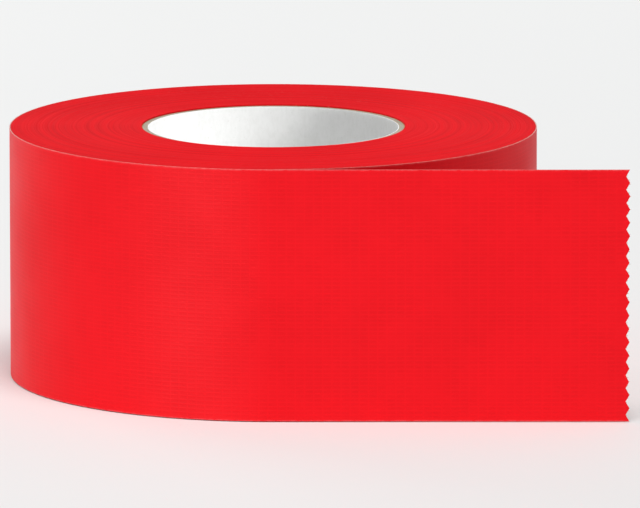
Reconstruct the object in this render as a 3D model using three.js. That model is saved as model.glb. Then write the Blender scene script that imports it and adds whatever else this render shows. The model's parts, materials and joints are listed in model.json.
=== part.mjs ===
// A roll of duct tape that stands on one flat end, with a straight tail pulled off its front.
// Millimetres, +Z up. The origin is on the roll's axis at half the tape's width. The tail leaves
// the front of the roll, at -Y, and runs towards +X. Every angle about the axis is in radians.
import * as THREE from "three";

const FULL_TURN = 2 * Math.PI;

// The core is a spiral-wound tube: a smooth liner, plies of grey board and a kraft wrap.
const boreDiameter = 76.2;
const linerThickness = 0.22;
const boardPlyThickness = 0.48;
const boardPlyCount = 3;
const wrapThickness = 0.26;
const glueLine = 0.02; // between two plies
const coreInset = 0.3; // how far each end of the core lies inside the tape's edge
const plyStripWidth = 120; // the paper strip that each ply is wound from
const seamGap = 0.6; // between the two edges of one strip, along the circumference
const seamStagger = FULL_TURN / 5; // from one ply's seam to the next ply's
const stripTip = 0.05; // what is left of a strip's sharp corner, along the axis

// The tape is film, cloth and adhesive, the film outermost.
const tapeWidth = 76.2;
const tapeLength = 54864; // 60 yards
const filmThickness = 0.09;
const clothThickness = 0.06;
const adhesiveThickness = 0.1;
const laminateGap = 0.01; // between two layers of the tape
const turnGap = 0.0094; // between one turn's adhesive and the film that it lies on
const windingWander = 0.25; // how far the wound turns stand past the tape's edge at each end
const coreGap = 0.02; // between the core and the first turn

// The tail, from the line where it leaves the roll to the tips of the cut.
const tailLength = 106.5;
const fullLinks = 6; // after the first link, which is half as long
const hingeGap = 0.4; // between the ends of two links
const toothPitch = 4;
const toothDepth = 1.15;

const facets = 60; // around the roll, the same for every turn and ply, so that they stay parallel
const facetAngle = FULL_TURN / facets;
const leastAngle = 1e-4; // two corners are never closer than this

const boreRadius = boreDiameter / 2;
const coreLength = tapeWidth - 2 * coreInset;
const packWidth = tapeWidth + 2 * windingWander;
const turnPitch = filmThickness + clothThickness + adhesiveThickness + 2 * laminateGap + turnGap;

const plies = [{ name: "core_liner", thickness: linerThickness, finish: "liner" }];
for (let i = 1; i <= boardPlyCount; i++) {
  plies.push({ name: `core_board_ply_${i}`, thickness: boardPlyThickness, finish: "board" });
}
plies.push({ name: "core_wrap", thickness: wrapThickness, finish: "kraft" });

const coreWall = plies.reduce((wall, ply) => wall + ply.thickness, glueLine * (plies.length - 1));
const firstTurnRadius = boreRadius + coreWall + coreGap;

// The wound length times the pitch of the turns is the area of the roll's end.
const woundArea = (tapeLength - tailLength) * turnPitch;
const rollRadius = Math.sqrt(firstTurnRadius ** 2 + woundArea / Math.PI);

// A layer's depth is from the film's outer face to the layer's own outer face.
const clothDepth = filmThickness + laminateGap;
const adhesiveDepth = clothDepth + clothThickness + laminateGap;
const layers = [
  { name: "film", thickness: filmThickness, depth: 0 },
  { name: "cloth", thickness: clothThickness, depth: clothDepth },
  { name: "adhesive", thickness: adhesiveThickness, depth: adhesiveDepth },
];

const materials = {
  liner: new THREE.MeshStandardMaterial({ color: 0xf2f1ec, roughness: 0.55, metalness: 0 }),
  board: new THREE.MeshStandardMaterial({ color: 0xa89a86, roughness: 0.9, metalness: 0 }),
  kraft: new THREE.MeshStandardMaterial({ color: 0xb48a5c, roughness: 0.85, metalness: 0 }),
  turns: new THREE.MeshStandardMaterial({ color: 0xe51621, roughness: 0.5, metalness: 0 }),
  film: new THREE.MeshStandardMaterial({ color: 0xee1722, roughness: 0.35, metalness: 0 }),
  cloth: new THREE.MeshStandardMaterial({ color: 0xe9e6dc, roughness: 0.9, metalness: 0 }),
  adhesive: new THREE.MeshStandardMaterial({ color: 0xcfc8b4, roughness: 0.3, metalness: 0 }),
};

function named(name, geometry, finish) {
  const mesh = new THREE.Mesh(geometry, materials[finish]);
  mesh.name = name;
  return mesh;
}

// The angles from start to end where a wall turns: at every facet, and at the corners given.
function stations(start, end, corners = []) {
  const inside = [...corners];
  for (let i = Math.ceil(start / facetAngle); i * facetAngle < end; i++) inside.push(i * facetAngle);
  inside.sort((a, b) => a - b);
  const angles = [start];
  for (const angle of inside) {
    const clear = angle - angles[angles.length - 1] > leastAngle && end - angle > leastAngle;
    if (clear) angles.push(angle);
  }
  return [...angles, end];
}

// A round wall is flat between two facet lines, and this is how far out it is at an angle.
function onFacet(radius, angle) {
  const fromLine = angle - facetAngle * Math.floor(angle / facetAngle);
  return (radius * Math.cos(facetAngle / 2)) / Math.cos(fromLine - facetAngle / 2);
}

// One ply of the core: a strip of paper wound once about the axis, so that its two edges meet
// along a seam that climbs as it goes round. The strip starts as a box, and each of the box's
// corners is moved to its angle, its height between the strip's edges, and its radius.
function ply({ name, thickness, finish }, innerRadius, seamAngle) {
  const middleRadius = innerRadius + thickness / 2;
  const circumference = FULL_TURN * middleRadius;
  const climbPerTurn = circumference * Math.tan(Math.asin(plyStripWidth / circumference));
  const seamSpan = (FULL_TURN * coreLength) / climbPerTurn;
  const stripSpan = FULL_TURN - seamGap / middleRadius;
  const bottom = -coreLength / 2;
  const top = coreLength / 2;
  const upperEdge = (angle) => bottom + (climbPerTurn * (angle - seamAngle)) / FULL_TURN;
  const lowerEdge = (angle) => upperEdge(angle - stripSpan);
  const tipSpan = (FULL_TURN * stripTip) / climbPerTurn;
  const angles = stations(seamAngle + tipSpan, seamAngle + stripSpan + seamSpan - tipSpan, [
    seamAngle + seamSpan,
    seamAngle + stripSpan,
  ]);
  const steps = angles.length - 1;
  const strip = new THREE.BoxGeometry(steps, 1, 1, steps, 1, 1).translate(steps / 2, 0, 0);
  const corners = strip.getAttribute("position");
  for (let i = 0; i < corners.count; i++) {
    const angle = angles[Math.round(corners.getX(i))];
    const isUpper = corners.getY(i) > 0;
    const isOuter = corners.getZ(i) > 0;
    const radius = onFacet(isOuter ? innerRadius + thickness : innerRadius, angle);
    const height = isUpper ? Math.min(top, upperEdge(angle)) : Math.max(bottom, lowerEdge(angle));
    corners.setXYZ(i, radius * Math.cos(angle), radius * Math.sin(angle), height);
  }
  strip.computeVertexNormals();
  return named(name, strip, finish);
}

function core() {
  const group = new THREE.Group();
  let innerRadius = boreRadius;
  plies.forEach((one, i) => {
    group.add(ply(one, innerRadius, i * seamStagger));
    innerRadius += one.thickness + glueLine;
  });
  return group;
}

// The points of a winding. Its angle runs clockwise, seen from above, from the front line.
function winding(radiusAt, start, end) {
  return stations(start, end).map((angle) => {
    const radius = onFacet(radiusAt(angle), angle);
    return new THREE.Vector2(-radius * Math.sin(angle), -radius * Math.cos(angle));
  });
}

function upright(shape, width) {
  const solid = new THREE.ExtrudeGeometry(shape, { depth: width, bevelEnabled: false });
  return solid.translate(0, 0, -width / 2);
}

// The film's outer face on the outermost turn, which closes in by one pitch in a turn.
function faceRadius(angle) {
  return rollRadius - (turnPitch * angle) / FULL_TURN;
}

// Every turn but the outermost. Its outside steps in by one pitch at the front line, and its
// inside steps out by one pitch where the tape's inner end lies on the core.
function woundTape() {
  const outside = winding((angle) => faceRadius(angle) - turnPitch, 0, FULL_TURN);
  const innerEnd = (FULL_TURN * (rollRadius - turnPitch - firstTurnRadius)) / turnPitch;
  const insideRadius = (angle) => firstTurnRadius + (turnPitch * (innerEnd - angle)) / FULL_TURN;
  const inside = winding(insideRadius, innerEnd - FULL_TURN, innerEnd);
  const shape = new THREE.Shape(outside);
  shape.holes.push(new THREE.Path(inside.reverse()));
  return named("wound_tape", upright(shape, packWidth), "turns");
}

function outerTurnLayer({ name, thickness, depth }) {
  const start = hingeGap / 2 / rollRadius;
  const end = FULL_TURN - start;
  const outside = winding((angle) => faceRadius(angle) - depth, start, end);
  const inside = winding((angle) => faceRadius(angle) - depth - thickness, start, end);
  const shape = new THREE.Shape([...outside, ...inside.reverse()]);
  return named(`outer_turn_${name}`, upright(shape, tapeWidth), name);
}

// One link of the tail, seen from its film side, with its hinge at x = 0. The last link ends in
// the teeth that the cutter left, with a tip at each corner of the tape.
function linkOutline(length, isLast) {
  const edge = tapeWidth / 2;
  const start = hingeGap / 2;
  const teeth = Math.max(1, Math.round(tapeWidth / toothPitch));
  const cut = [];
  if (isLast) {
    for (let i = 0; i <= 2 * teeth; i++) {
      cut.push(new THREE.Vector2(i % 2 ? length - toothDepth : length, (i * edge) / teeth - edge));
    }
  } else {
    cut.push(new THREE.Vector2(length - hingeGap / 2, -edge));
    cut.push(new THREE.Vector2(length - hingeGap / 2, edge));
  }
  return new THREE.Shape([new THREE.Vector2(start, -edge), ...cut, new THREE.Vector2(start, edge)]);
}

function linkLayer({ name, thickness, depth }, number, length, isLast) {
  const options = { depth: thickness, bevelEnabled: false };
  const sheet = new THREE.ExtrudeGeometry(linkOutline(length, isLast), options);
  const mesh = named(`tail_${number}_${name}`, sheet.rotateX(Math.PI / 2), name);
  mesh.position.y = depth + thickness - turnPitch / 2;
  return mesh;
}

// A chain of links, each hinged to the one before on an upright line at half the tape's thickness.
function tail() {
  const fullLength = tailLength / (fullLinks + 0.5);
  const first = new THREE.Group();
  first.position.y = turnPitch / 2 - rollRadius;
  let link = first;
  for (let number = 1; number <= fullLinks + 1; number++) {
    const length = number === 1 ? fullLength / 2 : fullLength;
    const isLast = number > fullLinks;
    layers.forEach((layer) => link.add(linkLayer(layer, number, length, isLast)));
    if (isLast) break;
    const next = new THREE.Group();
    next.position.x = length;
    link.add(next);
    link = next;
  }
  return first;
}

const group = new THREE.Group();
group.name = "duct_tape_roll";
group.add(core(), woundTape(), ...layers.map(outerTurnLayer), tail());

export default group;
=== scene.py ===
import json
import math
import random
import bmesh
import bpy
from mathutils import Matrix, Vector, noise

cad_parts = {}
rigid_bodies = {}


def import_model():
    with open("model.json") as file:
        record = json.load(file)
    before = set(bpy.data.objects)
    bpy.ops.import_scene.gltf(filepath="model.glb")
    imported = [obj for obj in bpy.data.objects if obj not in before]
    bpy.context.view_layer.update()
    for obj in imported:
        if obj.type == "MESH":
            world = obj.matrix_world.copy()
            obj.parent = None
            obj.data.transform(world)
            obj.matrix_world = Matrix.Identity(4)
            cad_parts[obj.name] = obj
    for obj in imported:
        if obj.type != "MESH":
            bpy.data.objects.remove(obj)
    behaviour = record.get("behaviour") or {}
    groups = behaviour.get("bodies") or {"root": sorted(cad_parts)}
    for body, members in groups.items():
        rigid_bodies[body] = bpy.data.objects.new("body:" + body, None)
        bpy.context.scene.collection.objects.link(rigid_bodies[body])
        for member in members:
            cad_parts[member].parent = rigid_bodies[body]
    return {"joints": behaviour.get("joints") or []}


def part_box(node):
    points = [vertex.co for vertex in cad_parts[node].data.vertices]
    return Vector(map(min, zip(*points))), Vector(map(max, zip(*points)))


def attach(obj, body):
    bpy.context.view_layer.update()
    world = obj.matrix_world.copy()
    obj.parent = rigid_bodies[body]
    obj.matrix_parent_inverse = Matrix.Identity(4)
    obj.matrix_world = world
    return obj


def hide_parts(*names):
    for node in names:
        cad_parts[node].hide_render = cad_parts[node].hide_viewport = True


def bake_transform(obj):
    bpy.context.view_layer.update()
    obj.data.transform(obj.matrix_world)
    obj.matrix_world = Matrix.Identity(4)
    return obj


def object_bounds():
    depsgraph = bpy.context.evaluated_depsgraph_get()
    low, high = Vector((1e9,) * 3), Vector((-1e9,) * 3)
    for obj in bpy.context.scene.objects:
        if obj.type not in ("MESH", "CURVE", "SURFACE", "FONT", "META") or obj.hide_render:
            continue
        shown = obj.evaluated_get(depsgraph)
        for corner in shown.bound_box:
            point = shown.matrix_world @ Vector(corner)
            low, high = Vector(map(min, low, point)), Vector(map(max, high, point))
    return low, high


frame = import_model()
cadLow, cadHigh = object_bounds()
mm = 0.001
fullTurn = 2 * math.pi

# sizes that several pieces share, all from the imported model
rollRadius = -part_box("tail_1_film")[0].y
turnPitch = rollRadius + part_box("wound_tape")[0].y
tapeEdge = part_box("outer_turn_film")[1].z
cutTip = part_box("tail_7_film")[1].x
hinges = [joint["pos_m"][0] for joint in frame["joints"]]
hingeLine = frame["joints"][0]["pos_m"][1]
linkLength = hinges[2] - hinges[1]

# the cloth in the tape, as yarns on the tail's back and as ridges under the film
weave = {
    "warpPitch": 2 * tapeEdge / 60,  # yarns that run along the tape
    "weftPitch": linkLength / 6,  # yarns that run across it
    "yarnWidth": 0.30 * mm,
    "yarnThickness": 0.044 * mm,
    "yarnSides": 6,
    "bends": 4,  # straight parts of a yarn from one crossing to the next
    "depth": 0.222 * mm,  # of the cloth's middle, below the film's face
    "wave": 0.022 * mm,  # how far a yarn rises and dips where it crosses another
    "warpShare": 0.62,  # of the pitch, taken up by the ridge over a yarn
    "weftShare": 0.30,
    "weftRise": 0.8,  # of the ridge over a weft yarn, where a warp yarn's is 1
    "driftNoise": (160, 1, 0.5),
    "weld": 1e-7,
}


def report(words):
    print("duct tape roll:", words)


# objects

# turns every closed shell's faces outwards, one shell at a time
def faceOutwards(bm):
    bmesh.ops.recalc_face_normals(bm, faces=bm.faces)
    for face in bm.faces:
        face.tag = False
    for first in bm.faces[:]:
        if first.tag:
            continue
        first.tag = True
        shell = [first]
        for face in shell:
            for edge in face.edges:
                for beside in edge.link_faces:
                    if not beside.tag:
                        beside.tag = True
                        shell.append(beside)
        here = first.verts[0].co
        volume = sum(face.calc_area() * face.normal.dot(face.verts[0].co - here) for face in shell)
        if volume < 0:
            bmesh.ops.reverse_faces(bm, faces=shell)


def newObject(name, bm):
    faceOutwards(bm)
    mesh = bpy.data.meshes.new(name)
    bm.to_mesh(mesh)
    bm.free()
    made = bpy.data.objects.new(name, mesh)
    bpy.context.scene.collection.objects.link(made)
    return made


# a smooth piece with hard edges where its faces turn by more than sharpAngle, in degrees
def newPiece(name, bm, material, slot, nodes, sharpAngle=40):
    piece = newObject(name, bm)
    for face in piece.data.polygons:
        face.use_smooth = True
    piece.data.set_sharp_from_angle(angle=math.radians(sharpAngle))
    piece.data.materials.append(material)
    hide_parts(*nodes)
    return piece


# a part's middle as one number: along the slab first, then across it, then through it
def slabOrder(part):
    corners = [part] if isinstance(part, bmesh.types.BMVert) else part.verts
    along, across, through = (sum(corner.co[axis] for corner in corners) for axis in range(3))
    finest = 4096  # more than the halves of rows or columns in any slab
    return ((along * finest + across) * finest + through) / len(corners)


# a closed slab whose corners run from 0 to 1 along, across and through it
def flatSlab(columns, rows, cuts=()):
    bm = bmesh.new()
    bmesh.ops.create_grid(bm, x_segments=columns, y_segments=rows, size=0.5)
    bmesh.ops.solidify(bm, geom=bm.faces[:], thickness=1)
    bmesh.ops.translate(bm, verts=bm.verts, vec=(0.5, 0.5, 1))
    for cut in cuts:
        parts = bm.verts[:] + bm.edges[:] + bm.faces[:]
        bmesh.ops.bisect_plane(bm, geom=parts, plane_co=(0, 0, cut), plane_no=(0, 0, 1))
    # the new parts come in any order, so they are put in one that is the same each time
    for parts in (bm.verts, bm.edges, bm.faces):
        parts.sort(key=slabOrder)
    return bm


# the map that the tape's patterns follow, in metres along and across the tape
def layFlat(bm):
    layer = bm.loops.layers.uv.new("flat")
    for face in bm.faces:
        for loop in face.loops:
            loop[layer].uv = loop.vert.co[:2]


def place(bm, spot):
    for vert in bm.verts:
        vert.co = spot(*vert.co)


def closeHoles(bm):
    gaps = [edge for edge in bm.edges if edge.is_boundary]
    bmesh.ops.holes_fill(bm, edges=gaps, sides=0)


def mix(low, high, share):
    return low + (high - low) * share


def smoothStep(low, high, value):
    share = min(1, max(0, (value - low) / (high - low)))
    return share * share * (3 - 2 * share)


# materials: a noise is given by its scale or stretch, detail and roughness, and a shade by two
# values and what each of them becomes. A roughness is the same all over unless it has a shade.

def newMaterial(name, color, look):
    material = bpy.data.materials.new(name)
    material.use_nodes = True
    shader = material.node_tree.nodes["Principled BSDF"]
    shader.inputs["Base Color"].default_value = (*color, 1)
    shader.inputs["Roughness"].default_value = look["roughness"]
    shader.inputs["Specular IOR Level"].default_value = look["specular"]
    return material, material.node_tree, shader


def setInput(tree, socket, value):
    if isinstance(value, bpy.types.NodeSocket):
        tree.links.new(value, socket)
    elif isinstance(value, tuple) and len(value) == 3 and len(socket.default_value) == 4:
        socket.default_value = (*value, 1)
    else:
        socket.default_value = value


def mathNode(tree, operation, *values):
    node = tree.nodes.new("ShaderNodeMath")
    node.operation = operation
    for socket, value in zip(node.inputs, values):
        setInput(tree, socket, value)
    return node.outputs[0]


def sumOf(tree, first, *others):
    for value in others:
        first = mathNode(tree, "ADD", first, value)
    return first


def productOf(tree, first, *others):
    for value in others:
        first = mathNode(tree, "MULTIPLY", first, value)
    return first


def noiseNode(tree, vector, scale, detail, roughness):
    node = tree.nodes.new("ShaderNodeTexNoise")
    setInput(tree, node.inputs["Vector"], vector)
    setInput(tree, node.inputs["Scale"], scale)
    setInput(tree, node.inputs["Detail"], detail)
    setInput(tree, node.inputs["Roughness"], roughness)
    return node.outputs["Fac"]


def stretchedNoise(tree, vector, stretch, detail, roughness, scale=1.0):
    node = tree.nodes.new("ShaderNodeVectorMath")
    node.operation = "MULTIPLY"
    setInput(tree, node.inputs[0], vector)
    setInput(tree, node.inputs[1], stretch)
    return noiseNode(tree, node.outputs[0], scale, detail, roughness)


def lineNoise(tree, value, scale, detail):
    node = tree.nodes.new("ShaderNodeTexNoise")
    node.noise_dimensions = "1D"
    setInput(tree, node.inputs["W"], value)
    setInput(tree, node.inputs["Scale"], scale)
    setInput(tree, node.inputs["Detail"], detail)
    return node.outputs["Fac"]


def shadeNode(tree, value, low, high, atLow=0.0, atHigh=1.0):
    node = tree.nodes.new("ShaderNodeMapRange")
    node.interpolation_type = "SMOOTHSTEP"
    names = ("Value", "From Min", "From Max", "To Min", "To Max")
    for name, number in zip(names, (value, low, high, atLow, atHigh)):
        setInput(tree, node.inputs[name], number)
    return node.outputs[0]


def colorMix(tree, share, first, second):
    node = tree.nodes.new("ShaderNodeMix")
    node.data_type = "RGBA"
    factor, firstColor, secondColor = node.inputs[0], node.inputs[6], node.inputs[7]
    setInput(tree, factor, share)
    setInput(tree, firstColor, first)
    setInput(tree, secondColor, second)
    return node.outputs[2]


# bump from one or more heights, each with how deep it is in metres
def bumpNode(tree, shader, *reliefs):
    heights = [productOf(tree, height, depth / mm) for height, depth in reliefs]
    node = tree.nodes.new("ShaderNodeBump")
    setInput(tree, node.inputs["Height"], sumOf(tree, *heights))
    node.inputs["Distance"].default_value = mm
    tree.links.new(node.outputs[0], shader.inputs["Normal"])


def placeOf(tree):
    return tree.nodes.new("ShaderNodeTexCoord").outputs["Object"]


def flatOf(tree):
    node = tree.nodes.new("ShaderNodeUVMap")
    node.uv_map = "flat"
    return node.outputs[0]


def splitNode(tree, vector):
    node = tree.nodes.new("ShaderNodeSeparateXYZ")
    tree.links.new(vector, node.inputs[0])
    return node.outputs


# 1 on the middle of every yarn and 0 between them
def yarnRidge(tree, value, pitch, start, share):
    crossed = mathNode(tree, "DIVIDE", mathNode(tree, "SUBTRACT", value, start), pitch)
    fromMiddle = mathNode(tree, "SUBTRACT", mathNode(tree, "FRACT", crossed), 0.5)
    return shadeNode(tree, mathNode(tree, "ABSOLUTE", fromMiddle), 0.5 * share, 0)


# the ridges of the cloth, which wander by up to half of drift
def weaveHeight(tree, flat, drift):
    shift = noiseNode(tree, flat, *weave["driftNoise"])
    shift = productOf(tree, mathNode(tree, "SUBTRACT", shift, 0.5), drift)
    parts = splitNode(tree, flat)
    along = sumOf(tree, parts[0], shift)
    across = sumOf(tree, parts[1], shift)
    warp = yarnRidge(tree, across, weave["warpPitch"], -tapeEdge, weave["warpShare"])
    weft = yarnRidge(tree, along, weave["weftPitch"], 0, weave["weftShare"])
    return mathNode(tree, "MAXIMUM", warp, productOf(tree, weft, weave["weftRise"]))


filmLook = {
    "red": (0.85, 0.0032, 0.0100),
    "deepRed": (0.74, 0.0022, 0.0075),
    # pale edge colour: partly wear, partly a painted highlight along the slit edges
    "wearAndEdgeHighlight": (0.86, 0.10, 0.11),
    "roughness": 0.4,
    "roughnessShade": (0.3, 0.7, 0.42, 0.54),
    "specular": 0.13,
    "weaveDrift": 0.25 * mm,
    "clouds": (26, 3, 0.6),
    "cloudShade": (0.35, 0.7, 0.0, 0.35),
    "patches": (90, 3, 0.6),
    # painted shade in the valleys between the yarns: the patches' range and how dark they make it
    "paintedValleyShade": (0.3, 0.75, 0.2, 0.5),
    "grain": (1900, 3, 0.6),
    "grainShare": 0.35,  # of the change in roughness, and the clouds have the rest
    "scuffs": (420, 4, 0.7),
    "scuffShade": (0.32, 0.62),
    # where the slit edges are painted paler, for wear and as a painted highlight
    "edgeWearAndHighlight": (tapeEdge - 0.55 * mm, tapeEdge - 0.1 * mm, 0, 0.75),
    "creases": ((14.0, 60.0, 1.0), 3, 0.45),
    "weaveRelief": 0.034 * mm,
    "creaseRelief": 0.10 * mm,
    "grainRelief": 0.0016 * mm,
}


def filmMaterial():
    look = filmLook
    material, tree, shader = newMaterial("red_tape_film", look["red"], look)
    flat = flatOf(tree)
    cloth = weaveHeight(tree, flat, look["weaveDrift"])
    clouds = noiseNode(tree, flat, *look["clouds"])
    patches = noiseNode(tree, flat, *look["patches"])
    grain = noiseNode(tree, flat, *look["grain"])
    creases = stretchedNoise(tree, flat, *look["creases"])
    # painted shade: the film is darker red in the valleys between its yarns, more so in some patches
    valleyShade = shadeNode(tree, patches, *look["paintedValleyShade"])
    between = mathNode(tree, "SUBTRACT", 1.0, cloth)
    cloudy = shadeNode(tree, clouds, *look["cloudShade"])
    tone = sumOf(tree, productOf(tree, between, valleyShade), cloudy)
    color = colorMix(tree, tone, look["red"], look["deepRed"])
    # paler along the slit edges, partly rubbed wear and partly a painted highlight on the edges
    fromMiddle = mathNode(tree, "ABSOLUTE", splitNode(tree, flat)[1])
    nearEdge = shadeNode(tree, fromMiddle, *look["edgeWearAndHighlight"])
    scuffed = shadeNode(tree, noiseNode(tree, flat, *look["scuffs"]), *look["scuffShade"])
    color = colorMix(tree, productOf(tree, nearEdge, scuffed), color, look["wearAndEdgeHighlight"])
    setInput(tree, shader.inputs["Base Color"], color)
    fine = productOf(tree, grain, look["grainShare"])
    broad = productOf(tree, clouds, 1 - look["grainShare"])
    rough = shadeNode(tree, sumOf(tree, fine, broad), *look["roughnessShade"])
    setInput(tree, shader.inputs["Roughness"], rough)
    bumpNode(
        tree, shader,
        (productOf(tree, cloth, patches), look["weaveRelief"]),
        (creases, look["creaseRelief"]),
        (grain, look["grainRelief"]),
    )
    return material


clothLook = {
    "thread": (0.78, 0.75, 0.68),
    "shadow": (0.60, 0.54, 0.46),
    "roughness": 0.85,
    "specular": 0.3,
    "fibres": ((2600.0, 9000.0, 1.0), 3, 0.6),
    "fibreShade": (0.35, 0.7, 0, 0.6),
    "stains": (130, 3, 0.6),
    "stainShade": (0.4, 0.8, 0, 0.4),
    "relief": 0.012 * mm,
}


def clothMaterial():
    look = clothLook
    material, tree, shader = newMaterial("scrim_cloth", look["thread"], look)
    flat = flatOf(tree)
    fibres = stretchedNoise(tree, flat, *look["fibres"])
    stains = noiseNode(tree, flat, *look["stains"])
    fibreTone = shadeNode(tree, fibres, *look["fibreShade"])
    tone = sumOf(tree, fibreTone, shadeNode(tree, stains, *look["stainShade"]))
    color = colorMix(tree, tone, look["thread"], look["shadow"])
    setInput(tree, shader.inputs["Base Color"], color)
    bumpNode(tree, shader, (fibres, look["relief"]))
    return material


adhesiveLook = {
    "cream": (0.66, 0.56, 0.45),
    "thin": (0.62, 0.36, 0.30),
    "roughness": 0.25,
    "roughnessShade": (0.3, 0.7, 0.18, 0.36),
    "specular": 0.5,
    "weaveDrift": 0.1 * mm,
    "smears": ((22.0, 120.0, 1.0), 4, 0.55),
    "smearShade": (0.3, 0.75, 0.25, 0.95),
    "tack": (700, 3, 0.55),
    "yarnShade": (0, 1, 1, 0.45),  # the coat hides more of the film over a yarn
    "relief": 0.05 * mm,
    "clothRelief": 0.02 * mm,
}


def adhesiveMaterial():
    look = adhesiveLook
    material, tree, shader = newMaterial("rubber_adhesive", look["cream"], look)
    flat = flatOf(tree)
    cloth = weaveHeight(tree, flat, look["weaveDrift"])
    smears = stretchedNoise(tree, flat, *look["smears"])
    tack = noiseNode(tree, flat, *look["tack"])
    # the red film shows through where the coat is thin
    smeared = shadeNode(tree, smears, *look["smearShade"])
    thin = productOf(tree, smeared, shadeNode(tree, cloth, *look["yarnShade"]))
    color = colorMix(tree, thin, look["cream"], look["thin"])
    setInput(tree, shader.inputs["Base Color"], color)
    rough = shadeNode(tree, tack, *look["roughnessShade"])
    setInput(tree, shader.inputs["Roughness"], rough)
    bumpNode(
        tree, shader,
        (cloth, look["clothRelief"]),
        (sumOf(tree, tack, smears), look["relief"]),
    )
    return material


# turns are counted from the outermost, so bands and lines are given per turn
packLook = {
    "film": (0.84, 0.0035, 0.0095),
    "pressed": (0.64, 0.0025, 0.0070),
    "glue": (0.70, 0.16, 0.13),
    "roughness": 0.5,
    "roughnessShade": (0.3, 0.7, 0.6, 0.8),
    "specular": 0.1,
    "underShade": (0.30, 0.42),  # where a turn's film ends and its cloth and adhesive start
    "underTone": 0.35,
    "bands": (0.16, 3),
    "bandShade": (0.3, 0.72, 0, 0.55),
    "lines": (1.3, 1),
    "lineShade": (0.35, 0.7, 0, 0.3),
    "drift": (28, 2, 0.5),
    "driftShade": (0.25, 0.7, 0.55, 1.1),
    "specks": ((900.0, 900.0, 60.0), 3, 0.65),
    "speckShade": (0.57, 0.74),
    "streaks": (0.9, 0),
    "streakShade": (0.5, 0.7, 0.05, 0.5),
    "speckRelief": 0.025 * mm,
    "lineRelief": 0.015 * mm,
}


def packMaterial():
    look = packLook
    material, tree, shader = newMaterial("wound_tape_edges", look["film"], look)
    here = placeOf(tree)
    x, y = splitNode(tree, here)[:2]
    radius = mathNode(tree, "SQRT", sumOf(tree, productOf(tree, x, x), productOf(tree, y, y)))
    angle = mathNode(tree, "ARCTAN2", productOf(tree, x, -1.0), productOf(tree, y, -1.0))
    fromFace = mathNode(tree, "DIVIDE", mathNode(tree, "SUBTRACT", rollRadius, radius), turnPitch)
    turn = mathNode(tree, "SUBTRACT", fromFace, mathNode(tree, "DIVIDE", angle, fullTurn))
    layer = mathNode(tree, "FRACT", turn)
    # each turn shows its film first, then cloth and adhesive
    under = shadeNode(tree, layer, *look["underShade"])
    lines = lineNoise(tree, turn, *look["lines"])
    tone = sumOf(
        tree,
        shadeNode(tree, lineNoise(tree, turn, *look["bands"]), *look["bandShade"]),
        shadeNode(tree, lines, *look["lineShade"]),
        productOf(tree, under, look["underTone"]),
    )
    drift = shadeNode(tree, noiseNode(tree, here, *look["drift"]), *look["driftShade"])
    color = colorMix(tree, productOf(tree, tone, drift), look["film"], look["pressed"])
    # and here and there a speck of its glue
    specks = stretchedNoise(tree, here, *look["specks"])
    streaks = shadeNode(tree, lineNoise(tree, turn, *look["streaks"]), *look["streakShade"])
    showing = productOf(tree, shadeNode(tree, specks, *look["speckShade"]), streaks, under)
    color = colorMix(tree, showing, color, look["glue"])
    setInput(tree, shader.inputs["Base Color"], color)
    rough = shadeNode(tree, lines, *look["roughnessShade"])
    setInput(tree, shader.inputs["Roughness"], rough)
    bumpNode(tree, shader, (specks, look["speckRelief"]), (lines, look["lineRelief"]))
    return material


# what the papers share, and then what each has of its own
paperLook = {
    "fibres": ((1.0, 1.0, 0.45), 4, 0.65),
    "fibreShade": (0.36, 0.7, 0, 0.55),
    "clouds": (60, 3, 0.6),
    "cloudShade": (0.35, 0.75, 0, 0.45),
    "fleckFineness": 1.7,  # the flecks' scale, where the fibres' is 1
    "flecks": (2, 0.5),
    "fleckShade": (0.66, 0.74, 0, 0.7),
    "roughnessFrom": (0.3, 0.7),
    "roughnessSpread": 0.06,
}
papers = {
    "core_liner_paper": {
        "name": "white_liner",
        "color": (0.81, 0.81, 0.80),
        "shade": (0.74, 0.74, 0.725),
        "fleck": (0.68, 0.67, 0.64),
        "roughness": 0.42,
        "specular": 0.35,
        "fibreScale": 900,
        "relief": 0.006 * mm,
    },
    "core_board": {
        "name": "grey_board",
        "color": (0.50, 0.43, 0.34),
        "shade": (0.33, 0.27, 0.20),
        "fleck": (0.66, 0.61, 0.52),
        "roughness": 0.88,
        "specular": 0.35,
        "fibreScale": 1500,
        "relief": 0.05 * mm,
    },
    "core_kraft_paper": {
        "name": "kraft_wrap",
        "color": (0.48, 0.29, 0.14),
        "shade": (0.34, 0.19, 0.085),
        "fleck": (0.60, 0.42, 0.25),
        "roughness": 0.8,
        "specular": 0.35,
        "fibreScale": 1200,
        "relief": 0.02 * mm,
    },
}


def paperMaterial(paper):
    look = paperLook
    material, tree, shader = newMaterial(paper["name"], paper["color"], paper)
    here = placeOf(tree)
    scale = paper["fibreScale"]
    fibres = stretchedNoise(tree, here, *look["fibres"], scale)
    clouds = noiseNode(tree, here, *look["clouds"])
    flecks = noiseNode(tree, here, scale * look["fleckFineness"], *look["flecks"])
    fibreTone = shadeNode(tree, fibres, *look["fibreShade"])
    tone = sumOf(tree, fibreTone, shadeNode(tree, clouds, *look["cloudShade"]))
    color = colorMix(tree, tone, paper["color"], paper["shade"])
    color = colorMix(tree, shadeNode(tree, flecks, *look["fleckShade"]), color, paper["fleck"])
    setInput(tree, shader.inputs["Base Color"], color)
    low = paper["roughness"] - look["roughnessSpread"]
    high = paper["roughness"] + look["roughnessSpread"]
    rough = shadeNode(tree, clouds, *look["roughnessFrom"], low, high)
    setInput(tree, shader.inputs["Roughness"], rough)
    bumpNode(tree, shader, (fibres, paper["relief"]))
    return material


floorLook = {
    "pale": (0.80, 0.80, 0.79),
    "dim": (0.776, 0.776, 0.7663),
    "roughness": 0.7,
    "specular": 0.1,
    "clouds": (2.5, 2, 0.5),
}


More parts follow.
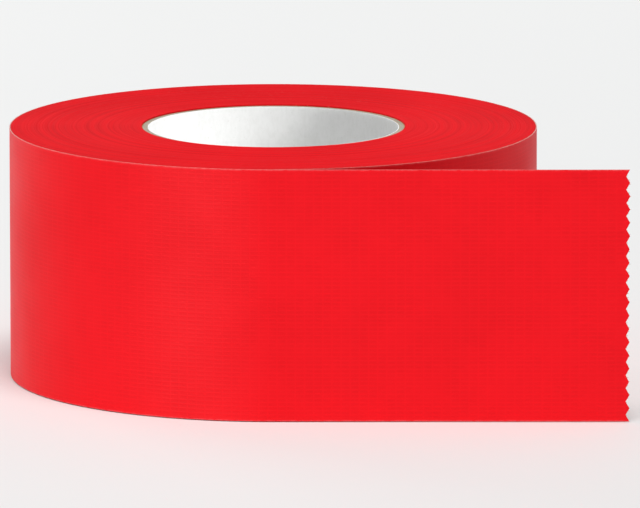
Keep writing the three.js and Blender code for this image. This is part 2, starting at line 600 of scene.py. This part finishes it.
def floorMaterial():
    look = floorLook
    material, tree, shader = newMaterial("pale_floor", look["pale"], look)
    clouds = noiseNode(tree, placeOf(tree), *look["clouds"])
    setInput(tree, shader.inputs["Base Color"], colorMix(tree, clouds, look["pale"], look["dim"]))
    return material


# camera, lights and floor

view = {
    "elevation": math.radians(10.04),
    "distance": 3.2,
    "lens": 589.3,
    "aim": (0.0142, 0, -0.0016),
    "nearest": 0.05,
    "farthest": 60,
}
studio = {
    "floorSize": 24,
    "skyColor": (0.95, 0.97, 1.0),
    "skyStrength": 0.36,
    "top": {"from": (0.05, -0.40, 1.55), "softness": math.radians(30), "strength": 2.35},
    "lights": [
        {"name": "front_light", "at": (-1.1, -1.6, 0.03), "size": (1.3, 0.12), "power": 12.5},
        {"name": "back_light", "at": (-1.3, 1.7, 0.75), "size": (0.9, 0.6), "power": 7},
        {
            "name": "bore_light",
            "at": (1.30, -0.65, 0.74),
            "size": (0.4, 1.0),
            "power": 25,
            "only": "core_liner_paper",
        },
    ],
}


def makeCamera():
    camera = bpy.data.objects.new("camera", bpy.data.cameras.new("camera"))
    bpy.context.scene.collection.objects.link(camera)
    back = Vector((0, -math.cos(view["elevation"]), math.sin(view["elevation"])))
    camera.location = Vector(view["aim"]) + back * view["distance"]
    camera.rotation_euler = (-back).to_track_quat("-Z", "Y").to_euler()
    camera.data.lens = view["lens"]
    camera.data.clip_start = view["nearest"]
    camera.data.clip_end = view["farthest"]
    bpy.context.scene.camera = camera
    report("camera")


# a lamp that shines towards the roll
def addLamp(name, kind, at, strength):
    lamp = bpy.data.objects.new(name, bpy.data.lights.new(name, kind))
    lamp.data.energy = strength
    lamp.location = at
    lamp.rotation_euler = (-Vector(at)).to_track_quat("-Z", "Y").to_euler()
    lamp.visible_camera = False
    bpy.context.scene.collection.objects.link(lamp)
    return lamp


def makeStudio():
    scene = bpy.context.scene
    scene.view_settings.view_transform = "Standard"
    scene.world = bpy.data.worlds.new("studio")
    scene.world.use_nodes = True
    sky = scene.world.node_tree.nodes["Background"]
    sky.inputs["Color"].default_value = (*studio["skyColor"], 1)
    sky.inputs["Strength"].default_value = studio["skyStrength"]
    top = addLamp("top_light", "SUN", studio["top"]["from"], studio["top"]["strength"])
    top.data.angle = studio["top"]["softness"]
    for one in studio["lights"]:
        lamp = addLamp(one["name"], "AREA", one["at"], one["power"])
        lamp.data.shape = "RECTANGLE"
        lamp.data.size, lamp.data.size_y = one["size"]
        if "only" in one:
            reach = bpy.data.collections.new(one["name"] + "_reach")
            reach.objects.link(bpy.data.objects[one["only"]])
            lamp.light_linking.receiver_collection = reach
    bm = bmesh.new()
    bmesh.ops.create_grid(bm, x_segments=1, y_segments=1, size=studio["floorSize"] / 2)
    bmesh.ops.translate(bm, verts=bm.verts, vec=(0, 0, cadLow.z))
    floor = newObject("floor", bm)
    floor.data.materials.append(floorMaterial())
    report("lights and floor")


# the core: five wound strips of paper and board, each with a seam that climbs as it goes round

core = {
    "stripWidth": 120 * mm,
    "seamGap": 0.25 * mm,
    "seamStagger": fullTurn / 5,
    "stripTip": 0.05 * mm,  # what is left of a strip's sharp corner
    "facet": math.radians(2.5),
    "rows": 10,
    "boardCuts": (0.33, 0.67),  # rows of corners in a ply's end, through its thickness
    "paperCuts": (0.5,),
    "fuzzSizes": (0.5 * mm, 0.16 * mm),
    "fineFuzz": 0.6,  # of the smaller size, where the larger is 1
    "edgeRound": 0.5,  # of the fuzz, by which a ply's end is lower at its two corners
    "middleRise": 0.4,  # of that, by which it is higher between them
    "endSlack": 0.001,
    "plies": [
        {"node": "core_liner", "thickness": 0.22 * mm, "slot": "core_liner_paper", "fuzz": 0.01 * mm},
        {"node": "core_board_ply_1", "thickness": 0.48 * mm, "slot": "core_board", "fuzz": 0.05 * mm},
        {"node": "core_board_ply_2", "thickness": 0.48 * mm, "slot": "core_board", "fuzz": 0.06 * mm},
        {"node": "core_board_ply_3", "thickness": 0.48 * mm, "slot": "core_board", "fuzz": 0.05 * mm},
        {"node": "core_wrap", "thickness": 0.26 * mm, "slot": "core_kraft_paper", "fuzz": 0.03 * mm},
    ],
}


def makePly(ply, seamAngle, material):
    low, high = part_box(ply["node"])
    outer, bottom, top = high.x, low.z, high.z
    around = fullTurn * (outer - ply["thickness"] / 2)
    climb = around * math.tan(math.asin(core["stripWidth"] / around))
    seamSpan = fullTurn * (top - bottom) / climb
    stripSpan = fullTurn * (1 - core["seamGap"] / around)
    tipSpan = fullTurn * core["stripTip"] / climb
    start, end = tipSpan, stripSpan + seamSpan - tipSpan
    corners = [angle * core["facet"] for angle in range(1, int(end / core["facet"]) + 1)]
    angles = sorted({start, end, seamSpan, stripSpan, *corners})
    angles = [angle for angle in angles if start <= angle <= end]
    steps = len(angles) - 1
    coarse, fine = core["fuzzSizes"]

    def spot(along, across, through):
        angle = angles[round(along * steps)]
        upper = min(top, bottom + climb * angle / fullTurn)
        lower = max(bottom, bottom + climb * (angle - stripSpan) / fullTurn)
        height = mix(lower, upper, across)
        radius = outer - ply["thickness"] * (1 - through)
        side = Vector((math.cos(angle + seamAngle), math.sin(angle + seamAngle), 0))
        # the slit ends of a ply are fuzzy, and lower at their corners
        isTop = across > 1 - core["endSlack"] and upper == top
        isBottom = across < core["endSlack"] and lower == bottom
        if isTop or isBottom:
            rough = noise.noise(side * radius / coarse)
            rough += core["fineFuzz"] * noise.noise(side * radius / fine)
            crown = 1 if through in (0, 1) else -core["middleRise"]
            drop = ply["fuzz"] * (abs(rough) + core["edgeRound"] * crown)
            height -= math.copysign(drop, height)
        return side * radius + Vector((0, 0, height))

    cuts = core["boardCuts"] if ply["slot"] == "core_board" else core["paperCuts"]
    bm = flatSlab(steps, core["rows"], cuts)
    place(bm, spot)
    piece = newPiece(ply["node"] + "_paper", bm, material, ply["slot"], [ply["node"]])
    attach(piece, "roll")


def makeCore():
    materials = {slot: paperMaterial(paper) for slot, paper in papers.items()}
    for number, ply in enumerate(core["plies"]):
        makePly(ply, number * core["seamStagger"], materials[ply["slot"]])
    report("core, %d plies" % len(core["plies"]))


# the wound turns: one long spiral, whose two ends show every turn's edge as a fine ridge

pack = {
    "steps": 144,
    "ridge": 0.022 * mm,
    "slowWander": 0.10 * mm,
    "slowTurns": 11,
    "turnWander": 0.05 * mm,
    "turnRate": 0.83,
    "turnDrift": 0.4,  # how much one turn's own wander changes as it goes round
    "broadWander": 0.05 * mm,
    "broadSize": 45 * mm,
    "rimRise": 0.02 * mm,  # past the tape's edge, at the outermost turn
    "faceRise": 0.04 * mm,  # more than that, from the turn given by rimTurns inwards
    "rimTurns": 6,
    "highest": 38.33 * mm,
    "coreGap": 0.02 * mm,
    "lastStep": 0.02,  # turns closer to the inner end than this lie on the core
    "weld": 0.002 * mm,
    "sharpAngle": 60,
}


# each noise is read on a plane of its own
def packHeight(turn, side, radius, ridge):
    slow = noise.noise(Vector((turn / pack["slowTurns"], 3.1, 0)))
    quick = noise.noise(Vector((turn * pack["turnRate"], 7.7, pack["turnDrift"] * side.x)))
    broad = noise.noise(Vector((side.x * radius, side.y * radius, 0)) / pack["broadSize"])
    wander = slow * pack["slowWander"] + quick * pack["turnWander"] + broad * pack["broadWander"]
    fromRim = smoothStep(0, pack["rimTurns"], turn)
    height = tapeEdge + pack["rimRise"] + fromRim * (pack["faceRise"] + wander) + ridge
    return min(pack["highest"], height)


def makePack(material):
    outside = rollRadius - turnPitch
    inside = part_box("core_wrap")[1].x + pack["coreGap"]
    turns = (outside - inside) / turnPitch
    lines = 2 * math.floor(turns) + 1  # a ridge and a groove for each turn
    rows = 2 * lines + 2
    bm = bmesh.new()
    bmesh.ops.create_grid(bm, x_segments=pack["steps"], y_segments=rows, size=0.5)

    # down the top face from outside to inside, back up the bottom face, and up the outside
    def spot(along, across, through):
        row = round((across + 0.5) * rows) % rows
        isTop = row <= lines
        line = row if isTop else 2 * lines + 1 - row
        angle = fullTurn * (along + 0.5)
        turn = line / 2 + angle / fullTurn
        isInnermost = turn > turns - pack["lastStep"]
        turn = turns if isInnermost else turn
        side = Vector((-math.sin(angle), -math.cos(angle), 0))
        ridge = 0 if isInnermost else pack["ridge"] * (1 if line % 2 else -1)
        radius = outside - turnPitch * turn
        height = packHeight(turn, side, radius, ridge)
        return side * radius + Vector((0, 0, height if isTop else -height))

    place(bm, spot)
    bmesh.ops.remove_doubles(bm, verts=bm.verts, dist=pack["weld"])
    closeHoles(bm)
    nodes = ["wound_tape"]
    piece = newPiece("wound_turns", bm, material, "wound_tape_edges", nodes, pack["sharpAngle"])
    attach(piece, "roll")
    report("wound turns, %d of them" % turns)


# the tape: film, cloth and adhesive, which follow one path from under the tail round to its cut

tape = {
    "layers": {
        "film": (0, 0.09 * mm),
        "cloth": (0.092 * mm, 0.152 * mm),
        "adhesive": (0.154 * mm, 0.27 * mm),
    },
    "tailAdhesive": (0.092 * mm, 0.222 * mm),
    "endGap": 0.25 * mm,  # between the two ends of the outermost turn
    "sharpAngles": {"film": 40, "cloth": 60, "adhesive": 40},
    "edgeRows": 76,
    "rollRows": 24,
    "rollColumns": 560,
    "columnLength": 1.0 * mm,
    "teeth": 19,
    "toothDepth": 1.15 * mm,
    "tipShifts": (-0.16, 0.05),  # in millimetres, past the cut's own line
    "rootShifts": (-0.12, 0.12),
    "tailWave": 0.14 * mm,
    "tailLift": 0.45,  # how far out the waves lie on average, as a part of their height
    "tailWaveSize": (34 * mm, 30 * mm),
    "smallWaveSize": (13 * mm, 17 * mm),
    "smallWave": 0.35,  # where the tail's larger waves are 1
    "tailCalm": (12 * mm, 60 * mm),  # where the waves start and are full
    "rollWave": 0.03 * mm,
    "rollLift": 0.5,
    "rollWaveSize": (38 * mm, 16 * mm),
    "rollCalm": (0, -14 * mm),
    "tipCurl": 0.22 * mm,
    "curlReach": 3.2 * mm,
    "curlSize": 2.4 * mm,
    "fray": 0.55 * mm,
    "leastFray": 0.05,
    "stray": 0.25 * mm,  # how far a loose yarn end leans up or down
    "looseThin": 0.5,
    "looseFrom": (-0.2 * mm, 1.2 * mm),
    "lastWeft": 1.6 * mm,  # no yarn runs across the tape nearer to the cut than this
}
random.seed(23)
tipShift = [random.uniform(*tape["tipShifts"]) * mm for tooth in range(tape["teeth"] + 1)]
rootShift = [random.uniform(*tape["rootShifts"]) * mm for tooth in range(tape["teeth"])]


# where the serrated cut lies at a height on the tape
def cutAt(height):
    passed = (height + tapeEdge) / (2 * tapeEdge) * tape["teeth"]
    tooth = min(tape["teeth"] - 1, max(0, int(passed)))
    share = passed - tooth
    tip = tipShift[tooth] if share < 0.5 else tipShift[tooth + 1]
    root = rootShift[tooth] - tape["toothDepth"]
    return cutTip + mix(root, tip, abs(2 * share - 1))


def waveAt(along, height, size, plane):
    return noise.noise(Vector((along / size[0], height / size[1], plane)))


# how far the tape stands out from its true path
def ripple(along, height):
    if along < 0:
        calm = smoothStep(*tape["rollCalm"], along)
        wave = waveAt(along, height, tape["rollWaveSize"], 2.2)
        return calm * tape["rollWave"] * (tape["rollLift"] + wave)
    calm = smoothStep(*tape["tailCalm"], along)
    wave = waveAt(along, height, tape["tailWaveSize"], 5.5)
    wave += tape["smallWave"] * waveAt(along, height, tape["smallWaveSize"], 9.1)
    nearCut = smoothStep(tape["curlReach"], 0, cutTip - along)
    curl = nearCut * noise.noise(Vector((height / tape["curlSize"], 0.5, 1.7)))
    return calm * tape["tailWave"] * (tape["tailLift"] + wave) + tape["tipCurl"] * curl


# a point of the tape: along is 0 on the front line, positive on the tail and negative on the roll
def onTape(along, height, depth):
    if along >= 0:
        return Vector((along, -rollRadius + depth - ripple(along, height), height))
    angle = -along / rollRadius
    radius = rollRadius - turnPitch * angle / fullTurn - depth + ripple(along, height)
    return Vector((-radius * math.sin(angle), -radius * math.cos(angle), height))


# one layer of the tape, up to the serrated cut where end is None
def tapeSlab(start, end, columns, rows, depths):
    bm = flatSlab(columns, rows)

    def flat(along, across, through):
        height = mix(-tapeEdge, tapeEdge, across)
        last = cutAt(height) if end is None else end
        return mix(start, last, along), height, mix(depths[0], depths[1], through)

    place(bm, flat)
    layFlat(bm)
    place(bm, onTape)
    return bm


def makeOuterTurn(materials):
    length = fullTurn * rollRadius - tape["endGap"]
    for layer, depths in tape["layers"].items():
        bm = tapeSlab(-length, 0, tape["rollColumns"], tape["rollRows"], depths)
        node = "outer_turn_" + layer
        piece = newPiece(node + "_wrap", bm, materials[layer], "tape_" + layer, [node])
        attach(piece, "roll")
    report("outer turn")


# one yarn as a tube, laid by a function of the place along it and the way round it
def addYarn(bm, samples, lay):
    sides = weave["yarnSides"]
    made = bmesh.ops.create_grid(bm, x_segments=samples, y_segments=sides, size=0.5)["verts"]
    for vert in made:
        way = round((vert.co.y + 0.5) * sides) % sides * fullTurn / sides
        width = 0.5 * weave["yarnWidth"] * math.cos(way)
        thick = 0.5 * weave["yarnThickness"] * math.sin(way)
        vert.co = lay(vert.co.x + 0.5, width, thick)
    bmesh.ops.remove_doubles(bm, verts=made, dist=weave["weld"])


def yarnRise(along, pitch, number):
    sign = -1 if number % 2 else 1
    return sign * weave["wave"] * math.cos(math.pi * (along / pitch - 0.5))


def makeTailCloth(start, end):
    bm = bmesh.new()
    isLast = end is None
    warps = round(2 * tapeEdge / weave["warpPitch"])
    for number in range(warps):
        height = -tapeEdge + (number + 0.5) * weave["warpPitch"]
        stop = end
        if isLast:
            stop = cutAt(height) + random.uniform(tape["leastFray"], 1) * tape["fray"]
        samples = round(weave["bends"] * (stop - start) / weave["weftPitch"])
        stray = random.uniform(-1, 1) * tape["stray"]

        # a yarn end that stands out of the cut leans and gets thin
        def lay(share, width, thick):
            along = mix(start, stop, share)
            loose = smoothStep(*tape["looseFrom"], along - cutAt(height)) if isLast else 0
            depth = weave["depth"] + yarnRise(along, weave["weftPitch"], number) + thick
            thinned = width * (1 - tape["looseThin"] * loose)
            return along, height + thinned + stray * loose, depth

        addYarn(bm, samples, lay)
    first = round(start / weave["weftPitch"])
    last = round((end or cutTip) / weave["weftPitch"])
    for number in range(first, last):
        along = (number + 0.5) * weave["weftPitch"]
        if along > cutTip - tape["lastWeft"]:
            continue

        def lay(share, width, thick):
            height = mix(-tapeEdge, tapeEdge, share)
            rise = -yarnRise(height + tapeEdge, weave["warpPitch"], number)
            return along - width, height, weave["depth"] + rise + thick

        addYarn(bm, weave["bends"] * warps, lay)
    closeHoles(bm)
    layFlat(bm)
    place(bm, onTape)
    return bm


def makeTail(materials):
    # the tail is made in lengths: the first is short and ends just past the front line, and the
    # others end at whole multiples of a link's length, the last at the cut
    lengths = len(hinges)
    splits = [linkLength * number for number in range(1, lengths)]
    ends = [0, weave["weftPitch"]] + splits[:-1] + [None]
    for number in range(lengths):
        start, end = ends[number], ends[number + 1]
        bendEnd = splits[-1] if end is None else end
        if number == 1:
            bendEnd = 2 * hinges[1] - start  # as far past its hinge as it starts before it
        columns = max(4, round(((end or cutTip) - start) / tape["columnLength"]))
        shapes = {
            "film": tapeSlab(start, end, columns, tape["edgeRows"], tape["layers"]["film"]),
            "cloth": makeTailCloth(start, end),
            "adhesive": tapeSlab(start, end, columns, tape["edgeRows"], tape["tailAdhesive"]),
        }
        for layer, bm in shapes.items():
            name = "tail_length_%d_%s" % (number, layer)
            nodes = ["tail_%d_%s" % (number + 1, layer)]
            sharpAngle = tape["sharpAngles"][layer]
            piece = newPiece(name, bm, materials[layer], "tape_" + layer, nodes, sharpAngle)
            bendFrom, bendTo = (start, hingeLine, 0), (bendEnd, hingeLine, 0)
            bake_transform(piece)
            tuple(bendFrom)
            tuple(bendTo)
    report("tail, %d lengths" % lengths)


def makeTape():
    materials = {
        "film": filmMaterial(),
        "cloth": clothMaterial(),
        "adhesive": adhesiveMaterial(),
    }
    makeOuterTurn(materials)
    makeTail(materials)


makeCamera()
makeCore()
makePack(packMaterial())
makeTape()
makeStudio()
